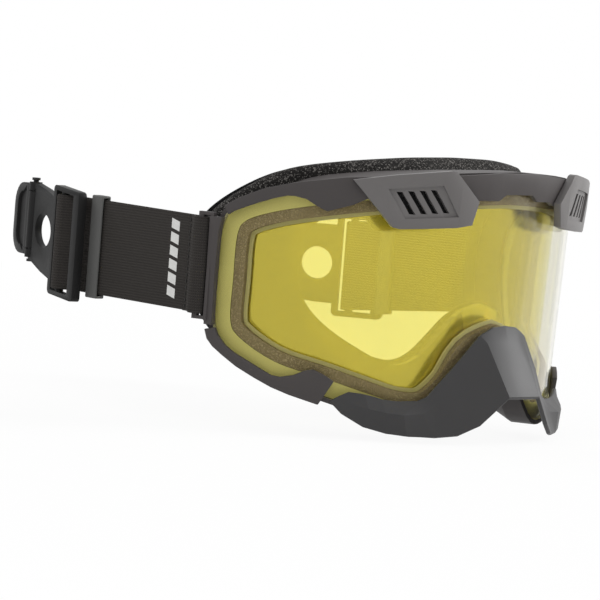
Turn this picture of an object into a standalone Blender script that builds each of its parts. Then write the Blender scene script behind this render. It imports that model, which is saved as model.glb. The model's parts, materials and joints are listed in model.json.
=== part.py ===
"""Off-road goggles: a wrapped double lens in a moulded frame, face foam, nose guard and two clip-on straps.

X is to the right seen from the front, Y runs back towards the wearer and Z is up. The origin is on the
middle plane, at mid lens height, on the axis of the cone that the lens is bent round. Sizes are in metres
and angles in degrees.
"""

from math import asin, cos, pi, radians, sin

import bmesh
import bpy
from mathutils import Matrix, Vector

# Lens cone: the outer face of the outer pane, with "depth" measured outwards from that face
LENS_RADIUS = 0.0975
LENS_TAPER = 0.04
OUTER_PANE = 0.0016
INNER_PANE = 0.0012
LENS_SPACE = 0.0046
FIT_GAP = 0.0003
BEND_STEP = 4.0

# Outer pane outline, top centre to bottom centre: angle round the cone and height
LENS_OUTLINE = (
    (0, 0.0360), (15.7, 0.0348), (33.7, 0.0316), (49.7, 0.0272), (61.7, 0.0224), (68.8, 0.0168), (71.5, 0.0080),
    (71.9, -0.0100), (71.9, -0.0275), (68.6, -0.0368), (58.2, -0.0464), (45.7, -0.0516), (34.4, -0.0566),
    (26.5, -0.0596), (18.8, -0.0588), (11.9, -0.0495), (6.9, -0.0370), (0, -0.0322),
)
LOOP_STEPS = 3
GASKET_INSET = 0.0062
GASKET_WIDTH = 0.0044
INNER_PANE_INSET = 0.0056

# Frame: a lip round the lens edge, a ledge behind it and a wall that leads in to the face opening
LIP_CLEARANCE = 0.0006
LIP_WALL = 0.0018
LIP_RISE = 0.0006
LEDGE_WIDTH = 0.0045
LEDGE_WALL = 0.0022
FRAME_DEPTH = 0.0090
FRAME_WALL = 0.0025

# Rear edges of the frame at the same stations, measured back from the front of the lens: the face opening, then the
# outer edge
OPENING_EDGE = (
    (0, 0.0185, 0.0255), (0.0209, 0.0196, 0.0250), (0.0412, 0.0268, 0.0235), (0.0537, 0.0383, 0.0195),
    (0.0601, 0.0485, 0.0140), (0.0628, 0.0534, 0.0070), (0.0633, 0.0549, 0.0000),
    (0.0628, 0.0544, -0.0110), (0.0596, 0.0501, -0.0205), (0.0539, 0.0433, -0.0280),
    (0.0466, 0.0356, -0.0340), (0.0398, 0.0293, -0.0383), (0.0336, 0.0246, -0.0395),
    (0.0285, 0.0213, -0.0370), (0.0239, 0.0190, -0.0325), (0.0178, 0.0167, -0.0250),
    (0.0105, 0.0146, -0.0175), (0, 0.0135, -0.0145),
)
OUTER_EDGE = (
    (0, 0.0255, 0.0370), (0.0242, 0.0265, 0.0364), (0.0476, 0.0355, 0.0344), (0.0641, 0.0489, 0.0306),
    (0.0747, 0.0625, 0.0220), (0.0811, 0.0722, 0.0125), (0.0832, 0.0761, 0.0040),
    (0.0832, 0.0761, -0.0110), (0.0800, 0.0713, -0.0280), (0.0736, 0.0615, -0.0380),
    (0.0621, 0.0480, -0.0465), (0.0506, 0.0379, -0.0520), (0.0393, 0.0299, -0.0562),
    (0.0301, 0.0252, -0.0582), (0.0235, 0.0225, -0.0555), (0.0174, 0.0197, -0.0470),
    (0.0105, 0.0171, -0.0375), (0, 0.0155, -0.0325),
)

# Foam on the back of the frame, with its thickness at the same stations: thin where the nose comes in
FOAM_DEPTH = (
    0.0140, 0.0140, 0.0140, 0.0140, 0.0140, 0.0140, 0.0140, 0.0140, 0.0140, 0.0140, 0.0140, 0.0130, 0.0105,
    0.0072, 0.0050, 0.0042, 0.0040, 0.0040,
)
FOAM_CROWN = 0.21
FOAM_BULGE = 0.0018
FOAM_RISE = 0.0030
FOAM_TUCK = 0.0020
LINING_THICKNESS = 0.0016

# Rims on the front of the lens
RIM_THICKNESS = 0.0021
BROW_TOP = (
    (0, 0.0379), (6.5, 0.0379), (17.1, 0.0363), (33.7, 0.0343), (43.7, 0.0329), (54.3, 0.0295), (57.7, 0.0280),
    (61.1, 0.0263), (64.7, 0.0236), (67.7, 0.0210), (70.5, 0.0179),
)
BROW_BOTTOM = (
    (69.4, 0.0147), (68.4, 0.0160), (65.5, 0.0183), (62.4, 0.0205), (59.3, 0.0225), (56.3, 0.0240),
    (54.7, 0.0241), (52.1, 0.0233), (49.7, 0.0210), (47.4, 0.0192), (41.9, 0.0224), (39, 0.0250),
    (35.7, 0.0255), (13.7, 0.0255), (11.7, 0.0270), (6.5, 0.0270), (4.4, 0.0296), (0, 0.0296),
)
LOWER_RIM = (
    (71, -0.0293), (70.4, -0.0319), (68.3, -0.0359), (66.1, -0.0383), (64.1, -0.0399), (57.2, -0.0456),
    (55.2, -0.0460), (52.2, -0.0449), (49.3, -0.0425), (47.7, -0.0421), (45.5, -0.0436), (42.9, -0.0460),
    (46.1, -0.0556), (48.8, -0.0544), (52.9, -0.0526), (57, -0.0503), (61.1, -0.0472), (65.4, -0.0436),
    (68.7, -0.0400), (71.4, -0.0368), (72.9, -0.0340), (73.6, -0.0304),
)

# Vent covers with their slots, and the filter pads behind the lens
VENT_OUTLINE = (
    (19.5, 0.0374), (20.7, 0.0380), (32.7, 0.0354), (42.4, 0.0323), (33.3, 0.0151), (31.7, 0.0145),
    (18.5, 0.0162), (14.8, 0.0175), (13.5, 0.0266),
)
VENT_HEIGHT = 0.0030
VENT_RECESS = 0.0010
RECESS_OUTLINE = (
    (22.6, 0.0322), (34.9, 0.0297), (30.7, 0.0186), (18.3, 0.0204),
)
SLOT_COUNT = 4
SLOT_WIDTH = 0.0024
SLOT_TOP = (24.6, 0.0302, 32.3, 0.0288)
SLOT_BOTTOM = (21.1, 0.0216, 29, 0.0204)
FILTER_OUTLINE = (
    (12.2, 0.0270), (41.7, 0.0245), (35.2, 0.0125), (16.7, 0.0135),
)
FILTER_THICKNESS = 0.0027

# Nose guard, from the arm end to the middle: the edge on the lens, then the fold and the bottom with depths
GUARD_THICKNESS = 0.0018
GUARD_EDGE_DEPTH = 0.0010
GUARD_EDGE = (
    (39.2, -0.0499), (36.5, -0.0506), (34.0, -0.0515), (31.5, -0.0527), (28.0, -0.0533), (22.8, -0.0527),
    (20.4, -0.0508), (14.0, -0.0384), (7.5, -0.0260), (4.0, -0.0228), (0, -0.0221),
)
GUARD_FOLD = (
    (41.6, -0.0520, 0.0009), (38.8, -0.0545, 0.0022), (34.8, -0.0560, 0.0040), (31.0, -0.0572, 0.0052),
    (27.0, -0.0578, 0.0056), (22.0, -0.0572, 0.0045), (17.6, -0.0525, 0.0036), (11.6, -0.0415, 0.0033),
    (6.0, -0.0291, 0.0030), (3.2, -0.0289, 0.0032), (0, -0.0288, 0.0034),
)
GUARD_BOTTOM = (
    (43.5, -0.0540, 0.0009), (40.6, -0.0585, 0.0022), (35.6, -0.0628, 0.0038), (30.5, -0.0647, 0.0048),
    (25.8, -0.0656, 0.0058), (19.4, -0.0657, 0.0080), (14.8, -0.0645, 0.0108), (10.2, -0.0602, 0.0132),
    (4.3, -0.0494, 0.0156), (2.2, -0.0494, 0.0158), (0, -0.0494, 0.0158),
)

# Outriggers: a bar over each lens end, with a window and a post that the strap loops round
BAR_OUTLINE = (
    (70.5, 0.0134), (71.1, 0.0080), (71.5, -0.0100), (71.5, -0.0284), (73.4, -0.0284), (73.4, 0.0134),
)
BAR_THICKNESS = 0.0034
OUTRIGGER_LIFT = 0.0013
OUTRIGGER_ANGLE = 72.6
OUTRIGGER_TURN = 12.3
OUTRIGGER_BAR = 0.0014
OUTRIGGER_WINDOW = 0.0030
OUTRIGGER_POST = 0.0022
OUTRIGGER_END = 0.0013
OUTRIGGER_Z = -0.0058

# Straps: plan shape is a band between two loops, on the inner side of both, which hangs its own way on each side
STRAP_WIDTH = 0.0378
STRAP_THICKNESS = 0.0017
LOOP_RADIUS = 0.0019
STRAP_LENGTH = 0.0814
STRAP_INWARD = {"left": 4.4, "right": 12.0}
STRAP_SLOPE = {"left": 0.012, "right": -0.09}
STRAP_PLAY = 0.0006

# Keepers: a sleeve that slides along the strap
KEEPER_LENGTH = 0.0065
KEEPER_WALL = 0.0010
KEEPER_SETBACK = 0.0183
KEEPER_CLEARANCE = 0.0004

# Helmet clips: a ring with a window, a plate with a round hole, a latch on a pin
CLIP_INWARD = {"left": 17.7, "right": 30.0}
CLIP_THICKNESS = 0.0036
RING_END = 0.0022
CLIP_SLOPE = {"left": 0.08, "right": 0.0}
RING_FRONT = 0.0145
RING_FRONT_BAR = 0.0047
RING_BAR_RADIUS = 0.0017
RING_GAP = 0.0031
RING_CROSSBAR = 0.0024
PLATE_RISE = {"left": 0.21, "right": 0.0}
PLATE_THICKNESS = 0.0030
PLATE_HEIGHT = 0.0330
PLATE_END_HEIGHT = 0.0305
PLATE_HOLE = 0.0068
PLATE_HOLE_AT = 0.0090
PIN_AT = 0.0208
PIN_RADIUS = 0.0011
PIN_CLEARANCE = 0.0003
PIN_HEAD = 0.0017
PIN_HEAD_HEIGHT = 0.0010
KNUCKLE_RADIUS = 0.0026
KNUCKLE_HEIGHT = 0.0036
LATCH_INWARD = {"left": 24.0, "right": 42.0}
LATCH_LENGTH = 0.0190
LATCH_HEIGHT = 0.0285
LATCH_THICKNESS = 0.0024
LATCH_ROOT = 0.0036
LATCH_CORNER = 0.0085
LATCH_DISH = 0.0012
LATCH_RIM = 0.0034

ROUND_STEPS = 20
MERGE = 1e-6
UP = Vector((0, 0, 1))
BACK = Vector((0, 1, 0))
SIDES = {"left": -1, "right": 1}

# Depths that stack up from the face of the outer pane
RIM_BACK = LIP_RISE + FIT_GAP
RIM_FRONT = RIM_BACK + RIM_THICKNESS
LEDGE_FRONT = -OUTER_PANE - FIT_GAP
LEDGE_BACK = LEDGE_FRONT - LEDGE_WALL
GASKET_BACK = LEDGE_FRONT - (LENS_SPACE - 2 * FIT_GAP)
INNER_FRONT = GASKET_BACK - FIT_GAP
INNER_BACK = INNER_FRONT - INNER_PANE
VENT_BACK = RIM_FRONT + FIT_GAP
VENT_FRONT = VENT_BACK + VENT_HEIGHT
LOOP_OUTER = LOOP_RADIUS + STRAP_THICKNESS
CLIP_INNER_HEIGHT = STRAP_WIDTH + 2 * STRAP_PLAY
CLIP_HEIGHT = CLIP_INNER_HEIGHT + 2 * RING_END
OUTRIGGER_HEIGHT = STRAP_WIDTH + 2 * STRAP_PLAY + 2 * OUTRIGGER_END
LATCH_KNUCKLE = PLATE_END_HEIGHT - 2 * KNUCKLE_HEIGHT - 2 * FIT_GAP


def clear_scene():
    """Removes every object of the open scene."""
    for obj in list(bpy.data.objects):
        bpy.data.objects.remove(obj)


def new_collection(name):
    """Adds a collection to the scene."""
    collection = bpy.data.collections.new(name)
    bpy.context.scene.collection.children.link(collection)
    return collection


def material(name, colour, roughness, alpha=1.0):
    """A Principled material of one colour."""
    made = bpy.data.materials.new(name)
    made.use_nodes = True
    shader = made.node_tree.nodes["Principled BSDF"]
    shader.inputs["Base Color"].default_value = (*colour, 1.0)
    shader.inputs["Roughness"].default_value = roughness
    shader.inputs["Metallic"].default_value = 0.0
    shader.inputs["Alpha"].default_value = alpha
    made.diffuse_color = (*colour, alpha)
    return made


def smooth(points, steps):
    """A Catmull-Rom curve through the points, with this many steps for each span."""
    ends = [2 * points[0] - points[1], *points, 2 * points[-1] - points[-2]]
    curve = []
    for before, start, end, after in zip(ends, ends[1:], ends[2:], ends[3:]):
        for step in range(steps):
            u = step / steps
            curve.append(
                0.5 * (2 * start + (end - before) * u + (2 * before - 5 * start + 4 * end - after) * u**2
                       + (3 * start - before - 3 * end + after) * u**3)
            )
    return [*curve, points[-1]]


def whole_loop(half):
    """A closed loop from its right half, which starts and ends on the middle plane."""
    return half + [Vector((-p.x, *p[1:])) for p in half[-2:0:-1]]


def station_loop(outline):
    """The smooth closed loop of an outline that is given by its right half."""
    return whole_loop(smooth([Vector(p) for p in outline], LOOP_STEPS))


def rear_loop(edge):
    """The smooth closed loop of a rear edge, set back from the front of the lens."""
    return station_loop([(x, back - LENS_RADIUS, z) for x, back, z in edge])


def flat(angle):
    """Distance round the cone, at mid height, of an angle."""
    return radians(angle) * LENS_RADIUS


def flat_outline(outline):
    """An outline of angles and heights, laid flat."""
    return [Vector((flat(angle), height)) for angle, height in outline]


def lens_loop():
    """The outline of the outer pane, laid flat."""
    return whole_loop(smooth(flat_outline(LENS_OUTLINE), LOOP_STEPS))


def inset(loop, distance):
    """A closed flat loop moved inwards by a distance."""
    moved = []
    for before, point, after in zip(loop[-1:] + loop[:-1], loop, loop[1:] + loop[:1]):
        along = (after - before).normalized()
        moved.append(point + Vector((along.y, -along.x)) * distance)
    return moved


def on_cone(point, depth):
    """The place of a flat point on the cone, this far out from the face of the lens."""
    angle = point.x / LENS_RADIUS
    radius = LENS_RADIUS + LENS_TAPER * point.y + depth
    return Vector((radius * sin(angle), -radius * cos(angle), point.y))


def circle(centre, radius, steps=ROUND_STEPS):
    """Points round a flat circle."""
    turns = [2 * pi * step / steps for step in range(steps)]
    return [Vector((centre[0] + radius * cos(turn), centre[1] + radius * sin(turn))) for turn in turns]


def arc(centre, radius, start, end, steps=ROUND_STEPS):
    """Points along a flat arc, with both ends, in radians."""
    turns = [start + (end - start) * step / steps for step in range(steps + 1)]
    return [Vector((centre[0] + radius * cos(turn), centre[1] + radius * sin(turn))) for turn in turns]


def rectangle(left, right, bottom, top):
    """Corners of a flat rectangle."""
    return [Vector((left, bottom)), Vector((right, bottom)), Vector((right, top)), Vector((left, top))]


def rounded(left, right, bottom, top, radius, steps=4):
    """A flat rectangle with round corners."""
    points = []
    for index, (x, y) in enumerate(((right, top), (left, top), (left, bottom), (right, bottom))):
        centre = (x - radius if x == right else x + radius, y - radius if y == top else y + radius)
        points += arc(centre, radius, index * pi / 2, (index + 1) * pi / 2, steps)
    return points


def evaluated_mesh(obj):
    """The mesh that an object's curve or modifiers give."""
    bpy.context.view_layer.update()
    graph = bpy.context.evaluated_depsgraph_get()
    return bpy.data.meshes.new_from_object(obj.evaluated_get(graph))


def plate_mesh(loops, thickness):
    """A flat plate with the first loop as its edge and the others as holes."""
    curve = bpy.data.curves.new("plate_curve", "CURVE")
    curve.dimensions = "2D"
    curve.fill_mode = "BOTH"
    curve.extrude = thickness / 2
    for loop in loops:
        spline = curve.splines.new("POLY")
        spline.points.add(len(loop) - 1)
        spline.use_cyclic_u = True
        for place, point in zip(spline.points, loop):
            place.co = (point.x, point.y, 0, 1)
    obj = bpy.data.objects.new("plate_curve", curve)
    bpy.context.scene.collection.objects.link(obj)
    mesh = evaluated_mesh(obj)
    bpy.data.objects.remove(obj)
    bpy.data.curves.remove(curve)
    return tidy_mesh(mesh)


def faced_out(work):
    """Turns the faces of a closed bmesh outwards."""
    bmesh.ops.recalc_face_normals(work, faces=work.faces)
    if work.calc_volume(signed=True) < 0:
        bmesh.ops.reverse_faces(work, faces=work.faces)


def tidy_mesh(mesh):
    """Welds a mesh, joins its flat triangles and turns its faces outwards."""
    work = bmesh.new()
    work.from_mesh(mesh)
    bmesh.ops.remove_doubles(work, verts=work.verts, dist=MERGE)
    bmesh.ops.dissolve_limit(work, angle_limit=radians(0.2), verts=work.verts, edges=work.edges)
    faced_out(work)
    work.to_mesh(mesh)
    work.free()
    return mesh


def moved_mesh(mesh, place):
    """A mesh with each vertex taken to place(vertex), facing outwards."""
    work = bmesh.new()
    work.from_mesh(mesh)
    for vertex in work.verts:
        vertex.co = place(vertex.co)
    faced_out(work)
    work.to_mesh(mesh)
    work.free()
    return mesh


def bent_plate(loops, back, front):
    """A plate laid flat, cut across at even steps and bent round the cone between two depths."""
    mesh = plate_mesh(loops, front - back)
    step = flat(BEND_STEP)
    reach = max(abs(point.x) for point in loops[0])
    work = bmesh.new()
    work.from_mesh(mesh)
    for index in range(-int(reach / step) - 1, int(reach / step) + 1):
        parts = work.verts[:] + work.edges[:] + work.faces[:]
        line = Vector(((index + 0.5) * step, 0, 0))
        bmesh.ops.bisect_plane(work, geom=parts, dist=MERGE, plane_co=line, plane_no=Vector((1, 0, 0)))
    bmesh.ops.triangulate(work, faces=work.faces)
    work.to_mesh(mesh)
    work.free()
    middle = (front + back) / 2
    return moved_mesh(mesh, lambda point: on_cone(point.xy, middle + point.z))


def boolean(mesh, other, operation):
    """One mesh cut by, or joined with, another."""
    objects = []
    for name, data in (("work", mesh), ("tool", other)):
        obj = bpy.data.objects.new(name, data)
        bpy.context.scene.collection.objects.link(obj)
        objects.append(obj)
    modifier = objects[0].modifiers.new("boolean", "BOOLEAN")
    modifier.operation = operation
    modifier.solver = "EXACT"
    modifier.object = objects[1]
    made = evaluated_mesh(objects[0])
    for obj in objects:
        bpy.data.objects.remove(obj)
    return made


def loft_mesh(sections):
    """A skin over closed sections of as many points each, which run in a ring."""
    work = bmesh.new()
    rows = [[work.verts.new(point) for point in section] for section in sections]
    for row, after in zip(rows, rows[1:] + rows[:1]):
        for index in range(len(row)):
            following = (index + 1) % len(row)
            work.faces.new((row[index], row[following], after[following], after[index]))
    bmesh.ops.triangulate(work, faces=work.faces)
    faced_out(work)
    mesh = bpy.data.meshes.new("loft")
    work.to_mesh(mesh)
    work.free()
    return mesh


def upright(mesh, origin, along, across, slope=0.0):
    """Stands a flat mesh up: its X runs along, its Y goes up and its Z across, climbing with the slope."""
    def place(point):
        return origin + along * point.x + UP * (point.y + slope * point.x) + across * point.z

    return moved_mesh(mesh, place)


def lying(mesh, origin, along, across, slope=0.0):
    """Lays a flat mesh level: its X runs along, its Y across and its Z up, climbing with the slope."""
    def place(point):
        return origin + along * point.x + across * point.y + UP * (point.z + slope * point.x)

    return moved_mesh(mesh, place)


def rod_mesh(radius, height, place):
    """An upright rod with its middle at a place."""
    return moved_mesh(plate_mesh([circle((0, 0), radius)], height), lambda point: place + point)


def mirrored(mesh, sign):
    """A mesh made for the right, on the side of the sign."""
    return moved_mesh(mesh, lambda point: on_side(point, sign))


def on_side(point, sign):
    """A point of the right side, on the side of the sign."""
    return Vector((sign * point.x, point.y, point.z))


def add_piece(name, mesh, finish, collection, origin=None):
    """Adds a piece with its material, with its origin on a joint's axis where one is given."""
    obj = bpy.data.objects.new(name, mesh)
    collection.objects.link(obj)
    mesh.name = name
    mesh.materials.clear()
    mesh.materials.append(finish)
    if origin is not None:
        mesh.transform(Matrix.Translation(-origin))
        obj.location = origin


def frame_body_mesh():
    """The frame: a lip round the lens, a ledge behind it and a wall that leads in to the face opening."""
    edge = lens_loop()
    lip_inner = inset(edge, -LIP_CLEARANCE)
    lip_outer = inset(edge, -LIP_CLEARANCE - LIP_WALL)
    ledge = inset(edge, LEDGE_WIDTH)
    opening = rear_loop(OPENING_EDGE)
    outer = rear_loop(OUTER_EDGE)
    sections = []
    for index in range(len(edge)):
        sections.append([
            on_cone(lip_outer[index], LIP_RISE),
            on_cone(lip_outer[index], -FRAME_DEPTH),
            outer[index],
            opening[index],
            opening[index] - BACK * FRAME_WALL,
            on_cone(edge[index], -FRAME_DEPTH),
            on_cone(edge[index], LEDGE_BACK),
            on_cone(ledge[index], LEDGE_BACK),
            on_cone(ledge[index], LEDGE_FRONT),
            on_cone(lip_inner[index], LEDGE_FRONT),
            on_cone(lip_inner[index], LIP_RISE),
        ])
    return loft_mesh(sections)


def foam_edges():
    """For each station: the foam's inner and outer edge on the frame, the step across, the bulge and the depth."""
    depths = station_loop([(0, depth) for depth in FOAM_DEPTH])
    for inner, outer, depth in zip(rear_loop(OPENING_EDGE), rear_loop(OUTER_EDGE), depths):
        across = (outer - inner).normalized()
        raised = min(max(outer.z / OUTER_EDGE[0][2], 0), 1)
        yield inner, outer, across, FOAM_BULGE + FOAM_RISE * raised, depth.y


def face_foam_mesh():
    """The thick foam ring behind the frame: it stands out past the frame's edge and has a crowned back."""
    sections = []
    for inner, outer, across, bulge, depth in foam_edges():
        middle = (inner + outer) / 2
        sections.append([
            inner + BACK * FIT_GAP,
            outer + BACK * FIT_GAP + across * bulge * 0.7,
            outer + BACK * depth * 0.5 + across * bulge,
            outer + BACK * depth + across * (bulge - FOAM_RISE),
            middle + BACK * depth * (1 + FOAM_CROWN),
            inner + BACK * depth + across * FOAM_TUCK,
            inner + BACK * depth * 0.4 - across * FOAM_BULGE * 0.7,
        ])
    return loft_mesh(sections)


def face_lining_mesh():
    """The fleece layer on the crowned back of the foam."""
    sections = []
    for inner, outer, across, bulge, depth in foam_edges():
        near = BACK * (depth + FIT_GAP)
        far = near + BACK * LINING_THICKNESS
        crown = BACK * depth * FOAM_CROWN
        middle = (inner + outer) / 2
        inner_edge = inner + across * FOAM_TUCK
        outer_edge = outer + across * (bulge - FOAM_RISE)
        sections.append([
            inner_edge + near,
            middle + near + crown,
            outer_edge + near,
            outer_edge + far,
            middle + far + crown,
            inner_edge + far,
        ])
    return loft_mesh(sections)


def brow_rim_mesh():
    """The upper rim, from one lens end to the other, with its tabs."""
    return bent_plate([whole_loop(flat_outline(BROW_TOP + BROW_BOTTOM))], RIM_BACK, RIM_FRONT)


def vent_slots():
    """The slanted slots of a vent cover, spread evenly across its grille."""
    half = Vector((SLOT_WIDTH / 2, 0))
    for index in range(SLOT_COUNT):
        share = index / (SLOT_COUNT - 1)
        ends = []
        for first, first_height, last, last_height in (SLOT_TOP, SLOT_BOTTOM):
            start = Vector((flat(first), first_height))
            ends.append(start.lerp(Vector((flat(last), last_height)), share))
        yield [ends[0] - half, ends[0] + half, ends[1] + half, ends[1] - half]


def vent_cover_mesh():
    """A vent cover: a plate with a recess and slots."""
    cover = bent_plate([flat_outline(VENT_OUTLINE)], VENT_BACK, VENT_FRONT)
    recess = bent_plate([flat_outline(RECESS_OUTLINE)], VENT_FRONT - VENT_RECESS, VENT_FRONT + VENT_RECESS)
    cover = boolean(cover, recess, "DIFFERENCE")
    for slot in vent_slots():
        cover = boolean(cover, bent_plate([slot], -VENT_HEIGHT, VENT_FRONT + VENT_HEIGHT), "DIFFERENCE")
    return cover


def vent_filter_mesh():
    """The foam pad of a vent, behind the inner pane."""
    front = INNER_BACK - FIT_GAP
    return bent_plate([flat_outline(FILTER_OUTLINE)], front - FILTER_THICKNESS, front)


def nose_guard_mesh():
    """The faceted nose guard: an open skin from the lens over a fold to the bottom, given its thickness."""
    columns = []
    for (angle, height), *lower in zip(GUARD_EDGE, GUARD_FOLD, GUARD_BOTTOM):
        column = [on_cone(Vector((flat(angle), height)), GUARD_EDGE_DEPTH)]
        column += [on_cone(Vector((flat(turn), level)), depth) for turn, level, depth in lower]
        columns.append(column)
    columns += [[on_side(point, -1) for point in column] for column in columns[-2::-1]]
    work = bmesh.new()
    rows = [[work.verts.new(point) for point in column] for column in columns]
    for row, after in zip(rows, rows[1:]):
        for index in range(len(row) - 1):
            work.faces.new((row[index], row[index + 1], after[index + 1], after[index]))
    bmesh.ops.triangulate(work, faces=work.faces)
    mesh = bpy.data.meshes.new("guard_skin")
    work.to_mesh(mesh)
    work.free()
    obj = bpy.data.objects.new("guard_skin", mesh)
    bpy.context.scene.collection.objects.link(obj)
    wall = obj.modifiers.new("wall", "SOLIDIFY")
    wall.thickness = GUARD_THICKNESS
    wall.offset = -1.0
    made = evaluated_mesh(obj)
    bpy.data.objects.remove(obj)
    return tidy_mesh(made)


def direction(inward):
    """Level directions on the right side: back along a line that turns inwards, and outwards across it."""
    turn = radians(inward)
    return Vector((-sin(turn), cos(turn), 0)), Vector((cos(turn), sin(turn), 0))


def outrigger_frame():
    """Where an outrigger's window frame starts, and its directions along and across."""
    depth = RIM_BACK + OUTRIGGER_LIFT + OUTRIGGER_POST / 2
    start = on_cone(Vector((flat(OUTRIGGER_ANGLE), OUTRIGGER_Z)), depth)
    return start, *direction(-OUTRIGGER_TURN)


def strap_place(side):
    """The middle of an outrigger's post, where a strap starts, and its directions along and across."""
    start, along, _ = outrigger_frame()
    post = start + along * (OUTRIGGER_BAR + OUTRIGGER_WINDOW + OUTRIGGER_POST / 2)
    return post, *direction(STRAP_INWARD[side])


def outrigger_mesh():
    """An outrigger: the bar over the lens end joined with the window frame behind it."""
    start, along, across = outrigger_frame()
    half = OUTRIGGER_HEIGHT / 2
    opening = STRAP_WIDTH / 2 + STRAP_PLAY
    window_end = OUTRIGGER_BAR + OUTRIGGER_WINDOW
    outer = rectangle(0, window_end + OUTRIGGER_POST, -half, half)
    window = rectangle(OUTRIGGER_BAR, window_end, -opening, opening)
    ring = upright(plate_mesh([outer, window], OUTRIGGER_POST), start, along, across)
    bar = bent_plate([flat_outline(BAR_OUTLINE)], RIM_BACK, RIM_BACK + BAR_THICKNESS)
    return boolean(bar, ring, "UNION")


def strap_mesh(side):
    """A strap: a band between its two loops, one round the outrigger's post and one round the clip's bar."""
    start, along, across = strap_place(side)
    lean = asin(LOOP_RADIUS / LOOP_OUTER)
    outline = arc((0, 0), LOOP_OUTER, -lean, 3 * pi / 2)
    outline += arc((STRAP_LENGTH, 0), LOOP_OUTER, -pi / 2, pi + lean)
    holes = [circle((0, 0), LOOP_RADIUS), circle((STRAP_LENGTH, 0), LOOP_RADIUS)]
    return lying(plate_mesh([outline, *holes], STRAP_WIDTH), start, along, across, STRAP_SLOPE[side])


def keeper_axis(side):
    """The middle of a keeper on its strap, on the right."""
    start, along, across = strap_place(side)
    at = STRAP_LENGTH - KEEPER_SETBACK
    band = -(LOOP_RADIUS + LOOP_OUTER) / 2
    return start + along * at + across * band + UP * STRAP_SLOPE[side] * at


def keeper_mesh(side):
    """A keeper: a sleeve with a rectangular bore round the band of its strap."""
    _, along, across = strap_place(side)
    half = STRAP_THICKNESS / 2 + KEEPER_CLEARANCE
    tall = STRAP_WIDTH / 2 + KEEPER_CLEARANCE
    bore = rectangle(-half, half, -tall, tall)
    shell = rectangle(-half - KEEPER_WALL, half + KEEPER_WALL, -tall - KEEPER_WALL, tall + KEEPER_WALL)
    climb = along + UP * STRAP_SLOPE[side]
    return upright(plate_mesh([shell, bore], KEEPER_LENGTH), keeper_axis(side), across, climb)


def clip_axis(side):
    """The middle of the ring bar that a strap's rear loop goes round, on the right."""
    start, along, _ = strap_place(side)
    return start + along * STRAP_LENGTH + UP * STRAP_SLOPE[side] * STRAP_LENGTH


def plate_distance():
    """How far behind the ring bar the clip's plate starts, in the middle of the crossbar."""
    return RING_BAR_RADIUS + RING_GAP + RING_CROSSBAR / 2


def pin_axis(side):
    """The middle of a latch pin, on the right."""
    along, _ = direction(CLIP_INWARD[side])
    level = CLIP_SLOPE[side] * (plate_distance() + PIN_AT) + PLATE_RISE[side] * PIN_AT
    return clip_axis(side) + along * (plate_distance() + PIN_AT) + UP * level


def clip_base_mesh(side):
    """A clip's base: a ring with a bar across its window, a plate with its hole, and two pin knuckles."""
    along, across = direction(CLIP_INWARD[side])
    axis = clip_axis(side)
    slope = CLIP_SLOPE[side]
    half = CLIP_HEIGHT / 2
    inner = CLIP_INNER_HEIGHT / 2 + slope * LOOP_OUTER
    crossbar = RING_BAR_RADIUS + RING_GAP
    outer = rounded(-RING_FRONT, crossbar + RING_CROSSBAR, -half, half, half - inner)
    window = rectangle(-RING_FRONT + RING_FRONT_BAR, crossbar, -inner, inner)
    base = upright(plate_mesh([outer, window], CLIP_THICKNESS), axis, along, across, slope)
    base = boolean(base, rod_mesh(RING_BAR_RADIUS, 2 * inner + STRAP_PLAY, axis), "UNION")
    first = plate_distance()
    pin = first + PIN_AT
    end = pin - KNUCKLE_RADIUS - FIT_GAP
    tall = PLATE_HEIGHT / 2
    short = PLATE_END_HEIGHT / 2
    rise = PLATE_RISE[side]
    step = LATCH_KNUCKLE / 2 + FIT_GAP + 2 * (slope + rise) * KNUCKLE_RADIUS
    hole = circle((first + PLATE_HOLE_AT, rise * PLATE_HOLE_AT), PLATE_HOLE, 2 * ROUND_STEPS)
    outline = [Vector((x, y + rise * (x - first))) for x, y in (
        (first, -tall), (first + PLATE_HOLE_AT, -tall), (pin, -short), (pin, -step), (end, -step),
        (end, step), (pin, step), (pin, short), (first + PLATE_HOLE_AT, tall), (first, tall))]
    plate = upright(plate_mesh([outline, hole], PLATE_THICKNESS), axis, along, across, slope)
    base = boolean(base, plate, "UNION")
    pivot = pin_axis(side)
    for sign in (-1, 1):
        level = pivot + UP * sign * (short - KNUCKLE_HEIGHT / 2)
        base = boolean(base, rod_mesh(KNUCKLE_RADIUS, KNUCKLE_HEIGHT - FIT_GAP, level), "UNION")
    return boolean(base, rod_mesh(PIN_RADIUS + PIN_CLEARANCE, 2 * PLATE_HEIGHT, pivot), "DIFFERENCE")


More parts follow.
